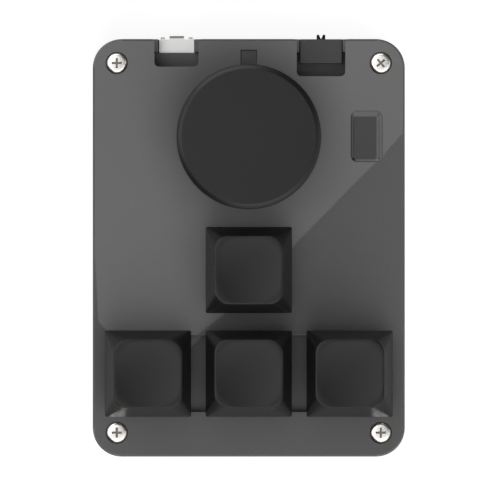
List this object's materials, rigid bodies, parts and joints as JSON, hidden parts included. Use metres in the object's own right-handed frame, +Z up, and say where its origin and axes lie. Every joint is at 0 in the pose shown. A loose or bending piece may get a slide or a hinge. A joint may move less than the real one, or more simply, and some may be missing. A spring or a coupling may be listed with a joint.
{
  "type": "macro keypad",
  "caption": "Small desk keypad with arrow keys, a push-and-turn dial, a mode button and a power slide on a screwed case.",
  "frame": {"origin": "on the table under the centre of the case's footprint", "axes": "+Z up out of the keys, +Y towards the edge with the connector and the power switch, +X to the right as the keys are read"},
  "size_m": [0.065, 0.0879, 0.036],
  "materials": {
    "case_plastic": "matt dark grey moulded plastic with a fine grain",
    "cover_plastic": "matt dark grey plate with a fine satin grain",
    "foot_rubber": "matt black rubber",
    "screw_steel": "bright zinc-plated steel",
    "insert_brass": "knurled brass",
    "board": "dark solder mask over glass laminate",
    "battery_foil": "satin laminated foil pouch",
    "foam_pad": "thin white foam tape",
    "red_insulation": "red silicone wire insulation",
    "black_insulation": "black silicone wire insulation",
    "pale_plastic": "off-white moulded nylon",
    "tinned_steel": "tin-plated sheet steel",
    "chip_plastic": "black moulding compound",
    "small_ceramic": "brown ceramic with tinned ends",
    "led_lens": "milky lens",
    "window_plastic": "smoked clear plastic with a matt face",
    "port_steel": "nickel-plated sheet steel",
    "gold_contact": "gold-plated contacts",
    "switch_plastic": "black nylon",
    "housing_plastic": "black nylon with a slight sheen",
    "stem_plastic": "brown acetal",
    "bush_zinc": "die-cast zinc with a dull nickel plate",
    "spring_steel": "plated spring wire",
    "shaft_metal": "turned metal shaft",
    "solder": "tinned copper and solder",
    "knob_plastic": "black satin moulded plastic",
    "black_steel": "blackened sheet steel",
    "lever_plastic": "black acetal",
    "button_plastic": "dark grey moulded plastic, slightly glossy",
    "keycap_plastic": "black satin moulded plastic"
  },
  "bodies": {
    "case": {"bottom_case": "case_plastic", "top_cover": "cover_plastic", "rubber_feet": "foot_rubber", "cover_screws": "screw_steel", "threaded_inserts": "insert_brass", "main_board": "board", "board_screws": "screw_steel", "battery_cell": "battery_foil", "battery_pad": "foam_pad", "red_lead": "red_insulation", "black_lead": "black_insulation", "battery_plug": "pale_plastic", "battery_socket": "pale_plastic", "radio_board": "board", "radio_shield": "tinned_steel", "board_chips": "chip_plastic", "small_parts": "small_ceramic", "status_led": "led_lens", "light_window": "window_plastic", "port_shell": "port_steel", "port_tongue": "chip_plastic", "port_contacts": "gold_contact", "encoder_base": "switch_plastic", "encoder_bracket": "tinned_steel", "encoder_bush": "bush_zinc", "detent_spring": "spring_steel", "encoder_pins": "solder", "power_switch_body": "switch_plastic", "power_switch_shell": "black_steel", "power_switch_pins": "solder", "button_switch_body": "switch_plastic", "button_switch_frame": "tinned_steel", "switch_pins": "solder", "switch_top_up": "housing_plastic", "switch_base_up": "switch_plastic", "spring_up": "spring_steel", "switch_top_left": "housing_plastic", "switch_base_left": "switch_plastic", "spring_left": "spring_steel", "switch_top_down": "housing_plastic", "switch_base_down": "switch_plastic", "spring_down": "spring_steel", "switch_top_right": "housing_plastic", "switch_base_right": "switch_plastic", "spring_right": "spring_steel"},
    "key_up": {"keycap_up": "keycap_plastic", "stem_up": "stem_plastic"},
    "key_left": {"keycap_left": "keycap_plastic", "stem_left": "stem_plastic"},
    "key_down": {"keycap_down": "keycap_plastic", "stem_down": "stem_plastic"},
    "key_right": {"keycap_right": "keycap_plastic", "stem_right": "stem_plastic"},
    "rotor": {"encoder_rotor": "pale_plastic"},
    "dial": {"dial_shaft": "shaft_metal", "dial_knob": "knob_plastic"},
    "slider": {"power_lever": "lever_plastic"},
    "button": {"mode_button": "button_plastic", "button_plunger": "lever_plastic"}
  },
  "joints": [
    {"name": "up_key_press", "type": "slide", "parent": "case", "child": "key_up", "axis": [0, 0, 1], "range_m": [-0.004, 0], "stiffness_N_per_m": 75, "springref_m": 0.004, "deforming": ["spring_up"]},
    {"name": "left_key_press", "type": "slide", "parent": "case", "child": "key_left", "axis": [0, 0, 1], "range_m": [-0.004, 0], "stiffness_N_per_m": 75, "springref_m": 0.004, "deforming": ["spring_left"]},
    {"name": "down_key_press", "type": "slide", "parent": "case", "child": "key_down", "axis": [0, 0, 1], "range_m": [-0.004, 0], "stiffness_N_per_m": 75, "springref_m": 0.004, "deforming": ["spring_down"]},
    {"name": "right_key_press", "type": "slide", "parent": "case", "child": "key_right", "axis": [0, 0, 1], "range_m": [-0.004, 0], "stiffness_N_per_m": 75, "springref_m": 0.004, "deforming": ["spring_right"]},
    {"name": "dial_turn", "type": "hinge", "parent": "case", "child": "rotor", "pos_m": [0, 0.0231, 0.0151], "axis": [0, 0, 1], "continuous": true},
    {"name": "dial_press", "type": "slide", "parent": "rotor", "child": "dial", "axis": [0, 0, 1], "range_m": [-0.0005, 0], "stiffness_N_per_m": 1000, "springref_m": 0.002},
    {"name": "power_slide", "type": "slide", "parent": "case", "child": "slider", "axis": [1, 0, 0], "range_m": [-0.001, 0.001]},
    {"name": "button_press", "type": "slide", "parent": "case", "child": "button", "axis": [0, 0, 1], "range_m": [-0.0003, 0], "stiffness_N_per_m": 500, "springref_m": 0.003}
  ]
}
